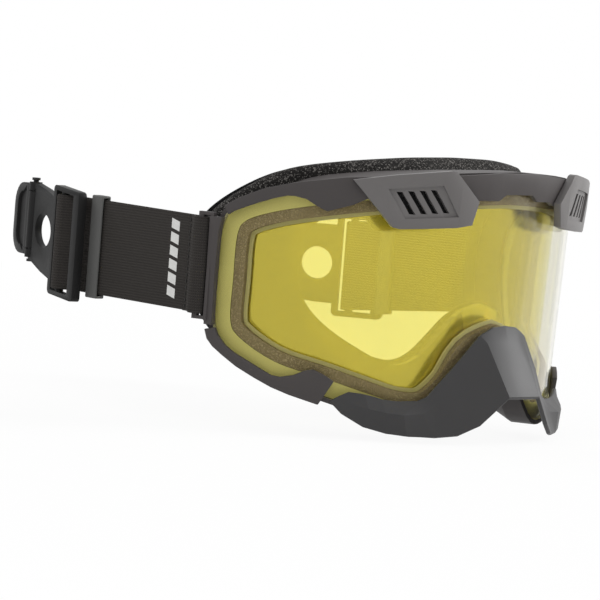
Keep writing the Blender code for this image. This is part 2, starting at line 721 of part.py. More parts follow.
def clip_latch_mesh(side):
    """A latch: a dished paddle with round corners on a knuckle between those of the base."""
    along, across = direction(LATCH_INWARD[side])
    axis = pin_axis(side)
    half = LATCH_HEIGHT / 2
    outline = arc((LATCH_LENGTH - LATCH_CORNER, half - LATCH_CORNER), LATCH_CORNER, 0, pi / 2, 6)
    outline += [Vector((LATCH_ROOT, half)), Vector((LATCH_ROOT, -half))]
    outline += arc((LATCH_LENGTH - LATCH_CORNER, LATCH_CORNER - half), LATCH_CORNER, -pi / 2, 0, 6)
    paddle = plate_mesh([outline], LATCH_THICKNESS)
    dish = plate_mesh([inset(outline, -LATCH_RIM)], LATCH_THICKNESS)
    dish = moved_mesh(dish, lambda point: point + UP * (LATCH_THICKNESS - LATCH_DISH))
    paddle = boolean(paddle, dish, "DIFFERENCE")
    tongue = LATCH_KNUCKLE / 2
    neck = plate_mesh([rectangle(0, LATCH_ROOT + LATCH_RIM / 2, -tongue, tongue)], LATCH_THICKNESS * 0.9)
    paddle = upright(boolean(paddle, neck, "UNION"), axis, along, across)
    paddle = boolean(paddle, rod_mesh(KNUCKLE_RADIUS, LATCH_KNUCKLE, axis), "UNION")
    return boolean(paddle, rod_mesh(PIN_RADIUS + PIN_CLEARANCE, 2 * PLATE_HEIGHT, axis), "DIFFERENCE")


def clip_pin_mesh(side):
    """A latch pin with a round head at each end, which show as nubs above and below the clip."""
    axis = pin_axis(side)
    half = PLATE_END_HEIGHT / 2
    rod = rod_mesh(PIN_RADIUS, PLATE_END_HEIGHT + 4 * FIT_GAP + PIN_HEAD_HEIGHT, axis)
    for sign in (-1, 1):
        level = axis + UP * sign * (half + PIN_HEAD_HEIGHT / 2 + 2 * FIT_GAP)
        rod = boolean(rod, rod_mesh(PIN_HEAD, PIN_HEAD_HEIGHT, level), "UNION")
    return rod


def build_face(collection, finishes):
    """Adds the lens stack, the frame, the foam, the rims and the nose guard."""
    edge = lens_loop()
    gasket = [inset(edge, GASKET_INSET), inset(edge, GASKET_INSET + GASKET_WIDTH)]
    for name, mesh, finish in (
        ("outer_lens", bent_plate([edge], -OUTER_PANE, 0), "lens"),
        ("lens_gasket", bent_plate(gasket, GASKET_BACK, LEDGE_FRONT), "gasket"),
        ("inner_lens", bent_plate([inset(edge, INNER_PANE_INSET)], INNER_BACK, INNER_FRONT), "lens"),
        ("frame_body", frame_body_mesh(), "frame"),
        ("face_foam", face_foam_mesh(), "foam"),
        ("face_lining", face_lining_mesh(), "lining"),
        ("brow_rim", brow_rim_mesh(), "frame"),
        ("nose_guard", nose_guard_mesh(), "guard"),
    ):
        add_piece(name, mesh, finishes[finish], collection)


def build_side(side, collection, finishes):
    """Adds the rims, the vent, the outrigger, the strap and the clip of one side."""
    sign = SIDES[side]
    for name, mesh, finish in (
        ("lower_rim", bent_plate([flat_outline(LOWER_RIM)], RIM_BACK, RIM_FRONT), "frame"),
        ("vent_cover", vent_cover_mesh(), "frame"),
        ("vent_filter", vent_filter_mesh(), "foam"),
        ("outrigger", outrigger_mesh(), "frame"),
    ):
        add_piece(f"{side}_{name}", mirrored(mesh, sign), finishes[finish], collection)
    for name, mesh, finish, place in (
        ("strap", strap_mesh(side), "strap", strap_place(side)[0]),
        ("keeper", keeper_mesh(side), "keeper", keeper_axis(side)),
        ("clip_base", clip_base_mesh(side), "clip", clip_axis(side)),
        ("clip_latch", clip_latch_mesh(side), "clip", pin_axis(side)),
        ("clip_pin", clip_pin_mesh(side), "pin", pin_axis(side)),
    ):
        add_piece(f"{side}_{name}", mirrored(mesh, sign), finishes[finish], collection, on_side(place, sign))


def main():
    """Builds the whole object."""
    clear_scene()
    collection = new_collection("goggles")
    finishes = {
        "lens": material("yellow_lens", (0.85, 0.70, 0.10), 0.08, 0.45),
        "gasket": material("gasket_foam", (0.16, 0.13, 0.09), 0.9),
        "frame": material("frame_plastic", (0.085, 0.078, 0.080), 0.5),
        "guard": material("guard_plastic", (0.090, 0.088, 0.090), 0.45),
        "foam": material("face_foam", (0.030, 0.028, 0.026), 0.95),
        "lining": material("fleece", (0.020, 0.020, 0.020), 1.0),
        "strap": material("strap_elastic", (0.028, 0.026, 0.024), 0.9),
        "keeper": material("keeper_rubber", (0.064, 0.064, 0.062), 0.6),
        "clip": material("clip_plastic", (0.035, 0.035, 0.035), 0.45),
        "pin": material("pin_plastic", (0.030, 0.030, 0.030), 0.4),
    }
    build_face(collection, finishes)
    for side in SIDES:
        build_side(side, collection, finishes)


main()
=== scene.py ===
"""Studio picture of off-road goggles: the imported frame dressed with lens, foam, webbing and plastic looks."""

import json
import logging
from dataclasses import dataclass, field
from enum import Enum
from math import cos, pi, radians, sin
from typing import Any, Sequence

import bmesh
import bpy
from mathutils import Matrix, Vector


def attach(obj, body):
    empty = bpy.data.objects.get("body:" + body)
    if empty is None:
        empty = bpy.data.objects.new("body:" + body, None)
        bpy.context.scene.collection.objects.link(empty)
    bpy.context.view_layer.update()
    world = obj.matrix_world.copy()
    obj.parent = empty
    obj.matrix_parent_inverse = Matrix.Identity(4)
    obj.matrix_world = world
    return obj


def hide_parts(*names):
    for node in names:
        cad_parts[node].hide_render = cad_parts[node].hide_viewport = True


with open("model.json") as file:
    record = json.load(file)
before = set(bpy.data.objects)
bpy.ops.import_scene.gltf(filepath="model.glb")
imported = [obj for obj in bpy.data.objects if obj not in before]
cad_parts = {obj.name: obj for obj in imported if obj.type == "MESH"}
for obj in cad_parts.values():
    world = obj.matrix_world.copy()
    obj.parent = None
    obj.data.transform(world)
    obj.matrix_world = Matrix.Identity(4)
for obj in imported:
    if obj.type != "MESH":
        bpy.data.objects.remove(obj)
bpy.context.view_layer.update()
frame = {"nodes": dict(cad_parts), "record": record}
log = logging.getLogger("goggles")

Colour = tuple[float, float, float]
BODY = "goggle_frame"
WHITE = (1.0, 1.0, 1.0, 1.0)

# Angles in degrees, over which the edges of most pieces, thin strips, stitches and foam are rounded or stay sharp
SHARP_ANGLE = 35.0
STRIP_ANGLE = 40.0
STITCH_ANGLE = 60.0
FOAM_ANGLE = 80.0

# Copies of CAD nodes: faces this flat are joined, triangles are paired into quads, and close vertices are merged
FLAT_ANGLE = 0.6
QUAD_FACE_ANGLE = 60.0
QUAD_SHAPE_ANGLE = 180.0
MERGE_DISTANCE = 3e-6
BEVEL_STEPS = 2


class Side(Enum):
    """A side of the goggles, with the sign of X there."""

    LEFT = -1
    RIGHT = 1

    @property
    def word(self) -> str:
        """The side's word in node and body names."""
        return self.name.lower()


class Wire:
    """A shader socket that Python arithmetic works on."""

    def __init__(self, graph: "Graph", socket: bpy.types.NodeSocket) -> None:
        """Wraps a socket of a graph."""
        self.graph = graph
        self.socket = socket

    def maths(self, operation: str, *values: Any) -> "Wire":
        """Adds a Math node.

        Args:
            operation: the node's operation.
            values: its inputs in order, as wires or numbers.

        Returns:
            The node's value.
        """
        node = self.graph.node("ShaderNodeMath", {"operation": operation}, dict(enumerate(values)))
        return Wire(self.graph, node.outputs[0])

    def __add__(self, other: Any) -> "Wire":
        """self + other."""
        return self.maths("ADD", self, other)

    __radd__ = __add__

    def __sub__(self, other: Any) -> "Wire":
        """self - other."""
        return self.maths("SUBTRACT", self, other)

    def __rsub__(self, other: Any) -> "Wire":
        """other - self."""
        return self.maths("SUBTRACT", other, self)

    def __mul__(self, other: Any) -> "Wire":
        """self * other."""
        return self.maths("MULTIPLY", self, other)

    __rmul__ = __mul__

    def __truediv__(self, other: Any) -> "Wire":
        """self / other."""
        return self.maths("DIVIDE", self, other)

    def __rtruediv__(self, other: Any) -> "Wire":
        """other / self."""
        return self.maths("DIVIDE", other, self)

    def wave(self) -> "Wire":
        """Sine of the value, from 0 to 1."""
        return self.maths("SINE", self) * 0.5 + 0.5

    def clamped(self) -> "Wire":
        """The value held between 0 and 1."""
        return self.maths("MINIMUM", self.maths("MAXIMUM", self, 0.0), 1.0)


class Graph:
    """The node tree of one material."""

    def __init__(self, name: str) -> None:
        """Starts a material with only its output node."""
        self.material = bpy.data.materials.new(name)
        self.material.use_nodes = True
        self.tree = self.material.node_tree
        self.tree.nodes.clear()

    def node(self, kind: str, settings: dict[str, Any] | None = None,
             inputs: dict[Any, Any] | None = None) -> bpy.types.Node:
        """Adds a node of any type.

        Args:
            kind: the node's type name.
            settings: attributes that are set first.
            inputs: values or wires by socket name or index.

        Returns:
            The node.
        """
        node = self.tree.nodes.new(kind)
        for key, value in (settings or {}).items():
            setattr(node, key, value)
        for key, value in (inputs or {}).items():
            socket = node.inputs[key]
            if isinstance(value, Wire):
                self.tree.links.new(value.socket, socket)
            elif isinstance(value, bpy.types.NodeSocket):
                self.tree.links.new(value, socket)
            else:
                socket.default_value = value
        return node

    def spot(self) -> Wire:
        """Object coordinates."""
        return Wire(self, self.node("ShaderNodeTexCoord").outputs["Object"])

    def noise(self, where: Wire, scale: float, detail: float = 2.0) -> Wire:
        """Noise at a place, from 0 to 1."""
        node = self.node("ShaderNodeTexNoise", {}, {"Vector": where, "Scale": scale, "Detail": detail})
        return Wire(self, node.outputs[0])

    def cells(self, where: Wire, scale: float) -> Wire:
        """A random number for each Voronoi cell."""
        node = self.node("ShaderNodeTexVoronoi", {}, {"Vector": where, "Scale": scale})
        return Wire(self, self.node("ShaderNodeSeparateColor", {}, {0: node.outputs["Color"]}).outputs[0])

    def axes(self, where: Wire) -> tuple[Wire, Wire, Wire]:
        """X, Y and Z of a vector."""
        outputs = self.node("ShaderNodeSeparateXYZ", {}, {0: where}).outputs
        return Wire(self, outputs[0]), Wire(self, outputs[1]), Wire(self, outputs[2])

    def mix(self, share: Any, first: Any, second: Any) -> Wire:
        """Mixes two colours.

        Args:
            share: how much of the second colour, as a wire or a number.
            first: a wire or three numbers.
            second: a wire or three numbers.

        Returns:
            The mixed colour.
        """
        values = [(*c, 1.0) if isinstance(c, tuple) else c for c in (first, second)]
        node = self.node("ShaderNodeMix", {"data_type": "RGBA"}, {0: share, 6: values[0], 7: values[1]})
        return Wire(self, node.outputs[2])

    def bump(self, height: Wire, depth: float) -> Wire:
        """A normal that follows a height, whose full range is a depth in metres."""
        node = self.node("ShaderNodeBump", {}, {"Height": height, "Distance": depth, "Strength": 1.0})
        return Wire(self, node.outputs[0])

    def principled(self, **inputs: Any) -> bpy.types.Node:
        """Adds a Principled shader.

        Args:
            inputs: each input by its name with _ for a space, as a wire, a number or a colour.

        Returns:
            The node.
        """
        values = {key.replace("_", " "): (*value, 1.0) if isinstance(value, tuple) else value
                  for key, value in inputs.items()}
        return self.node("ShaderNodeBsdfPrincipled", {}, values)

    def finish(self, shader: bpy.types.NodeSocket) -> bpy.types.Material:
        """Links the shader to the output."""
        self.node("ShaderNodeOutputMaterial", {}, {"Surface": shader})
        return self.material


@dataclass(frozen=True)
class MouldedPlastic:
    """Satin plastic with a fine moulded grain and slightly uneven gloss."""

    colour: Colour
    roughness: float = 0.45
    grain: float = 2600.0
    depth: float = 0.00003
    patch: float = 38.0
    grain_share: float = 0.2
    mottle: float = 0.12
    unevenness: float = 0.12
    gloss: float = 0.28

    def material(self, name: str) -> bpy.types.Material:
        """Makes the material.

        Args:
            name: the material's name.

        Returns:
            The material.
        """
        graph = Graph(name)
        where = graph.spot()
        broad = graph.noise(where, self.patch, 3.0)
        fine = graph.noise(where, self.grain, 2.0)
        darker = tuple(c * (1 - self.mottle) for c in self.colour)
        lighter = tuple(c * (1 + self.mottle) for c in self.colour)
        shader = graph.principled(
            Base_Color=graph.mix((broad * (1 - self.grain_share) + fine * self.grain_share).clamped(), darker, lighter),
            Roughness=broad * self.unevenness + (self.roughness - self.unevenness / 2),
            Specular_IOR_Level=self.gloss,
            Normal=graph.bump(fine, self.depth),
        )
        return graph.finish(shader.outputs[0])


@dataclass(frozen=True)
class SpeckledFoam:
    """Open or closed foam: dark cells with scattered pale ones."""

    colour: Colour
    speck: Colour
    scale: float = 1500.0
    share: float = 0.72
    contrast: float = 5.0
    patch: float = 90.0
    shades: tuple[float, float] = (0.8, 1.25)
    depth: float = 0.0004

    def material(self, name: str) -> bpy.types.Material:
        """Makes the material.

        Args:
            name: the material's name.

        Returns:
            The material.
        """
        graph = Graph(name)
        where = graph.spot()
        cell = graph.cells(where, self.scale)
        pits = graph.noise(where, self.scale * 0.8, 3.0)
        broad = graph.noise(where, self.patch, 2.0)
        specks = ((cell - self.share) * self.contrast).clamped() * pits
        shaded = graph.mix(broad, *(tuple(c * shade for c in self.colour) for shade in self.shades))
        shader = graph.principled(
            Base_Color=graph.mix(specks, shaded, self.speck),
            Roughness=0.95 - 0.1 * broad,
            Specular_IOR_Level=0.15,
            Normal=graph.bump(cell * 0.4 + pits, self.depth),
        )
        return graph.finish(shader.outputs[0])


@dataclass(frozen=True)
class WovenElastic:
    """Ribbed elastic webbing, read from the strap's own map of length and height in metres."""

    colour: Colour
    rib: float = 0.00105
    pick: float = 0.0007
    fuzz: float = 900.0
    shades: tuple[float, float] = (0.62, 1.35)
    depth: float = 0.00022

    def material(self, name: str) -> bpy.types.Material:
        """Makes the material.

        Args:
            name: the material's name.

        Returns:
            The material.
        """
        graph = Graph(name)
        weave = Wire(graph, graph.node("ShaderNodeUVMap", {"uv_map": "weave"}).outputs[0])
        along, height, _ = graph.axes(weave)
        ribs = (height * (2 * pi / self.rib)).wave()
        picks = (along * (2 * pi / self.pick) + ribs * pi).wave()
        fuzz = graph.noise(graph.spot(), self.fuzz, 4.0)
        cloth = (ribs * 0.55 + picks * 0.45) * (0.7 + 0.3 * fuzz)
        dark, light = (tuple(c * shade for c in self.colour) for shade in self.shades)
        shader = graph.principled(
            Base_Color=graph.mix(cloth, dark, light),
            Roughness=0.92 - 0.12 * picks,
            Specular_IOR_Level=0.15,
            Normal=graph.bump(cloth, self.depth),
        )
        return graph.finish(shader.outputs[0])


@dataclass(frozen=True)
class PlainThread:
    """Sewing thread or print: one colour, broken up by fine noise."""

    colour: Colour
    roughness: float = 0.7
    grain: float = 2200.0
    depth: float = 0.0001

    def material(self, name: str) -> bpy.types.Material:
        """Makes the material.

        Args:
            name: the material's name.

        Returns:
            The material.
        """
        graph = Graph(name)
        fine = graph.noise(graph.spot(), self.grain, 3.0)
        shader = graph.principled(
            Base_Color=graph.mix(fine, tuple(c * 0.8 for c in self.colour), self.colour),
            Roughness=fine * 0.2 + self.roughness - 0.1,
            Normal=graph.bump(fine, self.depth),
        )
        return graph.finish(shader.outputs[0])


@dataclass(frozen=True)
class TintedPane:
    """Clear tinted plastic: light goes through with a tint, and a soft veil in the pane's colour lies over it.

    haze is the veil's share, veil_blur its roughness, and shine the share of clear gloss at the pane's limb.
    """

    tint: Colour
    veil: Colour
    haze: float
    shine: float = 0.0
    veil_metal: float = 1.0
    veil_blur: float = 0.12
    patch: float = 26.0
    gloss_blur: float = 0.06
    falloff: float = 3.2

    def material(self, name: str) -> bpy.types.Material:
        """Makes the material.

        Args:
            name: the material's name.

        Returns:
            The material.
        """
        graph = Graph(name)
        clear = graph.node("ShaderNodeBsdfTransparent", {}, {"Color": (*self.tint, 1.0)})
        wear = graph.noise(graph.spot(), self.patch, 3.0)
        body = graph.principled(
            Base_Color=graph.mix(wear, tuple(c * 0.97 for c in self.veil), self.veil),
            Roughness=wear * 0.1 + self.veil_blur,
            Metallic=self.veil_metal,
        )
        both = graph.node("ShaderNodeMixShader", {}, {0: self.haze, 1: clear.outputs[0], 2: body.outputs[0]})
        if not self.shine:
            return graph.finish(both.outputs[0])
        edge = Wire(graph, graph.node("ShaderNodeLayerWeight", {}, {"Blend": 0.5}).outputs["Facing"])
        gloss = graph.node("ShaderNodeBsdfGlossy", {}, {"Color": WHITE, "Roughness": self.gloss_blur})
        share = edge.maths("POWER", edge, self.falloff) * self.shine
        coated = graph.node("ShaderNodeMixShader", {}, {0: share, 1: both.outputs[0], 2: gloss.outputs[0]})
        return graph.finish(coated.outputs[0])


@dataclass
class Finishes:
    """Every finish of the goggles, made once."""

    frame: bpy.types.Material = field(init=False)
    inside: bpy.types.Material = field(init=False)
    guard: bpy.types.Material = field(init=False)
    vent: bpy.types.Material = field(init=False)
    bed: bpy.types.Material = field(init=False)
    bead: bpy.types.Material = field(init=False)
    screen: bpy.types.Material = field(init=False)
    outer_pane: bpy.types.Material = field(init=False)
    inner_pane: bpy.types.Material = field(init=False)
    gasket: bpy.types.Material = field(init=False)
    foam: bpy.types.Material = field(init=False)
    pad: bpy.types.Material = field(init=False)
    lining: bpy.types.Material = field(init=False)
    strap: bpy.types.Material = field(init=False)
    keeper: bpy.types.Material = field(init=False)
    clip: bpy.types.Material = field(init=False)
    pin: bpy.types.Material = field(init=False)
    thread: bpy.types.Material = field(init=False)
    mark: bpy.types.Material = field(init=False)

    def __post_init__(self) -> None:
        """Makes the materials."""
        self.frame = MouldedPlastic((0.070, 0.063, 0.062), 0.50, gloss=0.2).material("frame_plastic")
        # Painted light: the frame's inner walls are the same dark plastic, drawn pale yellow here for the light let in
        # through the lens.
        self.inside = MouldedPlastic((0.40, 0.38, 0.22), 0.6).material("frame_inside")
        self.guard = MouldedPlastic((0.053, 0.052, 0.053), 0.46, gloss=0.2).material("guard_plastic")
        self.vent = MouldedPlastic((0.150, 0.142, 0.140), 0.42).material("vent_plastic")
        # Painted light: the frame's ledge under the lens edge is drawn pale yellow rather than dark plastic, for the
        # light let in through the lens.
        self.bed = MouldedPlastic((0.60, 0.56, 0.22), 0.6).material("lens_bed_plastic")
        self.bead = MouldedPlastic((0.50, 0.46, 0.22), 0.5, mottle=0.3).material("spacer_bead")
        self.screen = SpeckledFoam((0.010, 0.010, 0.010), (0.05, 0.05, 0.05), 1900.0).material("vent_screen")
        self.outer_pane = TintedPane((0.992, 0.988, 0.93), (0.95, 0.82, 0.25), 0.01, 0.7).material("outer_pane")
        self.inner_pane = TintedPane((0.992, 0.988, 0.66), (0.99, 0.85, 0.20), 0.34).material("inner_pane")
        self.gasket = SpeckledFoam((0.25, 0.20, 0.13), (0.55, 0.46, 0.30), 2600.0).material("gasket_foam")
        self.foam = SpeckledFoam((0.016, 0.015, 0.014), (0.36, 0.34, 0.32), 2300.0, 0.74).material("face_foam")
        self.pad = SpeckledFoam((0.12, 0.10, 0.065), (0.26, 0.23, 0.15), 1800.0).material("vent_pad_foam")
        self.lining = SpeckledFoam((0.016, 0.016, 0.017), (0.05, 0.05, 0.05), 3600.0).material("fleece")
        self.strap = WovenElastic((0.041, 0.037, 0.034)).material("strap_elastic")
        self.keeper = MouldedPlastic((0.100, 0.100, 0.097), 0.55).material("keeper_rubber")
        self.clip = MouldedPlastic((0.014, 0.014, 0.014), 0.45, gloss=0.14).material("clip_plastic")
        self.pin = MouldedPlastic((0.020, 0.020, 0.020), 0.40).material("pin_plastic")
        self.thread = PlainThread((0.030, 0.029, 0.028)).material("strap_thread")
        self.mark = PlainThread((0.80, 0.80, 0.78)).material("strap_mark")


def linked(name: str, mesh: bpy.types.Mesh) -> bpy.types.Object:
    """Puts a mesh in the scene as an object at the origin.

    Args:
        name: the new object.
        mesh: its mesh.

    Returns:
        The new object.
    """
    obj = bpy.data.objects.new(name, mesh)
    bpy.context.scene.collection.objects.link(obj)
    return obj


def settled(obj: bpy.types.Object, sharp: float) -> bpy.types.Object:
    """Applies an object's modifiers to its mesh and smooths its shading.

    Args:
        obj: the object.
        sharp: edges over this angle, in degrees, stay sharp.

    Returns:
        The object, with no modifiers.
    """
    bpy.context.view_layer.update()
    mesh = bpy.data.meshes.new_from_object(obj.evaluated_get(bpy.context.evaluated_depsgraph_get()))
    obj.modifiers.clear()
    obj.data = mesh
    mesh.shade_smooth()
    mesh.set_sharp_from_angle(angle=radians(sharp))
    return obj


def copied(node: str, name: str, join: bool = False) -> bpy.types.Object:
    """A merged copy of a CAD node, as the base of the piece that stands for it.

    Args:
        node: the CAD node.
        name: the new piece.
        join: whether its triangles are paired into quads, rather than flat ones joined.

    Returns:
        The new object.
    """
    work = bmesh.new()
    work.from_mesh(frame["nodes"][node].data)
    bmesh.ops.remove_doubles(work, verts=work.verts, dist=MERGE_DISTANCE)
    if join:
        bmesh.ops.join_triangles(work, faces=work.faces, angle_face_threshold=radians(QUAD_FACE_ANGLE),
                                 angle_shape_threshold=radians(QUAD_SHAPE_ANGLE))
    else:
        bmesh.ops.dissolve_limit(work, angle_limit=radians(FLAT_ANGLE), verts=work.verts, edges=work.edges)
    mesh = bpy.data.meshes.new(name)
    work.to_mesh(mesh)
    work.free()
    return linked(name, mesh)


def bevelled(node: str, name: str, width: float, sharp: float = SHARP_ANGLE) -> bpy.types.Object:
    """A copy of a CAD node with its sharp edges rounded.

    Args:
        node: the CAD node.
        name: the new piece.
        width: the bevel's width in metres.
        sharp: edges over this angle, in degrees, are rounded.

    Returns:
        The new object.
    """
    obj = copied(node, name)
    bevel = obj.modifiers.new("edges", "BEVEL")
    bevel.width = width
    bevel.segments = BEVEL_STEPS
    bevel.limit_method = "ANGLE"
    bevel.angle_limit = radians(sharp)
    return settled(obj, sharp)


def dress(obj: bpy.types.Object, finish: bpy.types.Material, body: str, slot: str,
          *replaced: str) -> bpy.types.Object:
    """Gives a piece its material and its body, and hides the CAD nodes that it stands for.

    Args:
        obj: the piece.
        finish: its material.
        body: the CAD body that it moves with.
        slot: the record's material slot; not used.
        replaced: the CAD nodes that it stands for.

    Returns:
        The piece.
    """
    obj.data.materials.clear()
    obj.data.materials.append(finish)
    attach(obj, body)
    if replaced:
        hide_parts(*replaced)
    log.info("%s: %d faces on %s", obj.name, len(obj.data.polygons), body)
    return obj


def smooth(points: Sequence[Vector], steps: int) -> list[Vector]:
    """A Catmull-Rom curve through points.

    Args:
        points: the points, in order.
        steps: steps for each span.

    Returns:
        The curve's points, with both ends.
    """
    ends = [2 * points[0] - points[1], *points, 2 * points[-1] - points[-2]]
    curve = []
    for before, start, end, after in zip(ends, ends[1:], ends[2:], ends[3:]):
        for step in range(steps):
            u = step / steps
            curve.append(0.5 * (2 * start + (end - before) * u + (2 * before - 5 * start + 4 * end - after) * u**2
                                + (3 * start - before - 3 * end + after) * u**3))
    return [*curve, points[-1]]


def skin(name: str, sections: Sequence[Sequence[Vector]], ring: bool,
         lengths: Sequence[float] | None = None) -> bpy.types.Object:
    """A skin over closed sections, in a ring or capped at both ends.

    Args:
        name: the new object.
        sections: closed sections of as many points each.
        ring: whether the last section joins the first.
        lengths: the way along to each section, for a map of length and height in metres.

    Returns:
        The new object.
    """
    work = bmesh.new()
    rows = [[work.verts.new(point) for point in section] for section in sections]
    weave = work.loops.layers.uv.new("weave") if lengths else None
    place = {vertex: lengths[index] for index, row in enumerate(rows) for vertex in row} if lengths else {}
    pairs = list(zip(rows, rows[1:])) + ([(rows[-1], rows[0])] if ring else [])
    for row, after in pairs:
        for index in range(len(row)):
            following = (index + 1) % len(row)
            work.faces.new((row[index], row[following], after[following], after[index]))
    if not ring:
        work.faces.new(rows[0])
        work.faces.new(rows[-1])
    bmesh.ops.recalc_face_normals(work, faces=work.faces)
    if work.calc_volume(signed=True) < 0:
        bmesh.ops.reverse_faces(work, faces=work.faces)
    if weave:
        for face in work.faces:
            for loop in face.loops:
                loop[weave].uv = (place[loop.vert], loop.vert.co.z)
    mesh = bpy.data.meshes.new(name)
    work.to_mesh(mesh)
    work.free()
    return linked(name, mesh)


@dataclass
class StitchTree:
    """A Geometry Nodes tree that sets a stitch on each vertex of a mesh."""

    tree: bpy.types.NodeTree = field(init=False)
    sockets: dict[str, str] = field(init=False, default_factory=dict)

    def __post_init__(self) -> None:
        """Builds the tree with its named inputs."""
        tree = bpy.data.node_groups.new("stitches", "GeometryNodeTree")
        face = tree.interface
        face.new_socket("Geometry", in_out="INPUT", socket_type="NodeSocketGeometry")
        for name, kind in (("Radius", "NodeSocketFloat"), ("Length", "NodeSocketFloat"),
                           ("Thread", "NodeSocketMaterial")):
            self.sockets[name] = face.new_socket(name, in_out="INPUT", socket_type=kind).identifier
        face.new_socket("Geometry", in_out="OUTPUT", socket_type="NodeSocketGeometry")
        nodes = tree.nodes
        start = nodes.new("NodeGroupInput")
        stitch = nodes.new("GeometryNodeMeshUVSphere")
        stitch.inputs["Segments"].default_value = 8
        stitch.inputs["Rings"].default_value = 5
        stretch = nodes.new("ShaderNodeCombineXYZ")
        scatter = nodes.new("GeometryNodeInstanceOnPoints")
        realize = nodes.new("GeometryNodeRealizeInstances")
        colour = nodes.new("GeometryNodeSetMaterial")
        end = nodes.new("NodeGroupOutput")
        ratio = nodes.new("ShaderNodeMath")
        ratio.operation = "DIVIDE"
        for source, target in (
            (start.outputs["Geometry"], scatter.inputs["Points"]),
            (start.outputs["Radius"], stitch.inputs["Radius"]),
            (stitch.outputs["Mesh"], scatter.inputs["Instance"]),
            (start.outputs["Length"], ratio.inputs[0]),
            (start.outputs["Radius"], ratio.inputs[1]),
            (ratio.outputs[0], stretch.inputs["Z"]),
            (stretch.outputs[0], scatter.inputs["Scale"]),
            (scatter.outputs["Instances"], realize.inputs["Geometry"]),
            (realize.outputs["Geometry"], colour.inputs["Geometry"]),
            (start.outputs["Thread"], colour.inputs["Material"]),
            (colour.outputs["Geometry"], end.inputs["Geometry"]),
        ):
            tree.links.new(source, target)
        stretch.inputs["X"].default_value = 1.0
        stretch.inputs["Y"].default_value = 1.0
        self.tree = tree

    def sew(self, name: str, places: Sequence[Vector], radius: float, length: float,
            thread: bpy.types.Material) -> bpy.types.Object:
        """Sews upright stitches at places.

        Args:
            name: the new object.
            places: the middle of each stitch.
            radius: half the thread's width.
            length: half a stitch's length.
            thread: the thread's material.

        Returns:
            The stitches as a plain mesh.
        """
        mesh = bpy.data.meshes.new(name)
        mesh.from_pydata([tuple(place) for place in places], [], [])
        obj = linked(name, mesh)
        modifier = obj.modifiers.new("stitches", "NODES")
        modifier.node_group = self.tree
        modifier[self.sockets["Radius"]] = radius
        modifier[self.sockets["Length"]] = length
        modifier[self.sockets["Thread"]] = thread
        return settled(obj, STITCH_ANGLE)


@dataclass
class LensCone:
    """The cone that the lens is bent round, and the outline of the lens on it."""

    radius: float = 0.0975
    taper: float = 0.04
    steps: int = 4
    outline: tuple[tuple[float, float], ...] = (
        (0, 0.0360), (15.7, 0.0348), (33.7, 0.0316), (49.7, 0.0272), (61.7, 0.0224), (68.8, 0.0168),
        (71.5, 0.0080), (71.9, -0.0100), (71.9, -0.0275), (68.6, -0.0368), (58.2, -0.0464), (45.7, -0.0516),
        (34.4, -0.0566), (26.5, -0.0596), (18.8, -0.0588), (11.9, -0.0495), (6.9, -0.0370), (0, -0.0322),
    )

    def on(self, flat: Vector, depth: float) -> Vector:
        """Bends a flat point onto the cone.

        Args:
            flat: distance round the cone at mid height, and height.
            depth: how far out from the face of the lens.

        Returns:
            The place in the row frame.
        """
        angle = flat.x / self.radius
        radius = self.radius + self.taper * flat.y + depth
        return Vector((radius * sin(angle), -radius * cos(angle), flat.y))

    def loop(self, inset: float) -> list[Vector]:
        """The flat outline of the lens, moved inwards.

        Args:
            inset: how far, in metres.

        Returns:
            The points of the closed loop.
        """
        half = smooth([Vector((radians(t) * self.radius, z)) for t, z in self.outline], self.steps)
        whole = half + [Vector((-p.x, p.y)) for p in half[-2:0:-1]]
        moved = []
        for before, point, after in zip(whole[-1:] + whole[:-1], whole, whole[1:] + whole[:1]):
            along = (after - before).normalized()
            moved.append(point + Vector((along.y, -along.x)) * inset)
        return moved

    def ribbon(self, name: str, outer: float, inner: float, back: float, front: float) -> bpy.types.Object:
        """Makes a ring that follows the lens edge.

        Args:
            name: the new object.
            outer: inset of its outer side.
            inner: inset of its inner side.
            back: depth of its back.
            front: depth of its front.

        Returns:
            The new object.
        """
        corners = ((outer, back), (outer, front), (inner, front), (inner, back))
        loops = [(self.loop(inset), depth) for inset, depth in corners]
        sections = [[self.on(loop[index], depth) for loop, depth in loops] for index in range(len(loops[0][0]))]
        return skin(name, sections, True)


@dataclass
class LensStack:
    """The two panes, the foam strip that holds them apart and the bed that they lie in."""

    cone: LensCone
    bed_sides: tuple[float, float] = (-0.0003, 0.0061)
    bed_depth: tuple[float, float] = (-0.00186, -0.00168)
    bead_sides: tuple[float, float] = (0.0107, 0.0122)
    bead_depth: tuple[float, float] = (-0.0059, -0.0048)

    def build(self, finishes: Finishes) -> None:
        """Builds and dresses the lens.

        Args:
            finishes: the goggles' finishes.
        """
        for node, piece, finish, slot, width in (
            ("outer_lens", "lens_outer", finishes.outer_pane, "lens", 0.0003),
            ("inner_lens", "lens_inner", finishes.inner_pane, "lens", 0.0002),
            ("lens_gasket", "lens_spacer", finishes.gasket, "gasket", 0.0006),
        ):
            dress(bevelled(node, piece, width), finish, BODY, slot, node)
        bed = self.cone.ribbon("lens_bed", *self.bed_sides, *self.bed_depth)
        # The ledge wears the pale painted light instead of the frame's plastic.
        dress(settled(bed, STRIP_ANGLE), finishes.bed, BODY, "frame")
        bead = self.cone.ribbon("lens_bead", *self.bead_sides, *self.bead_depth)
        dress(settled(bead, STRIP_ANGLE), finishes.bead, BODY, "gasket")


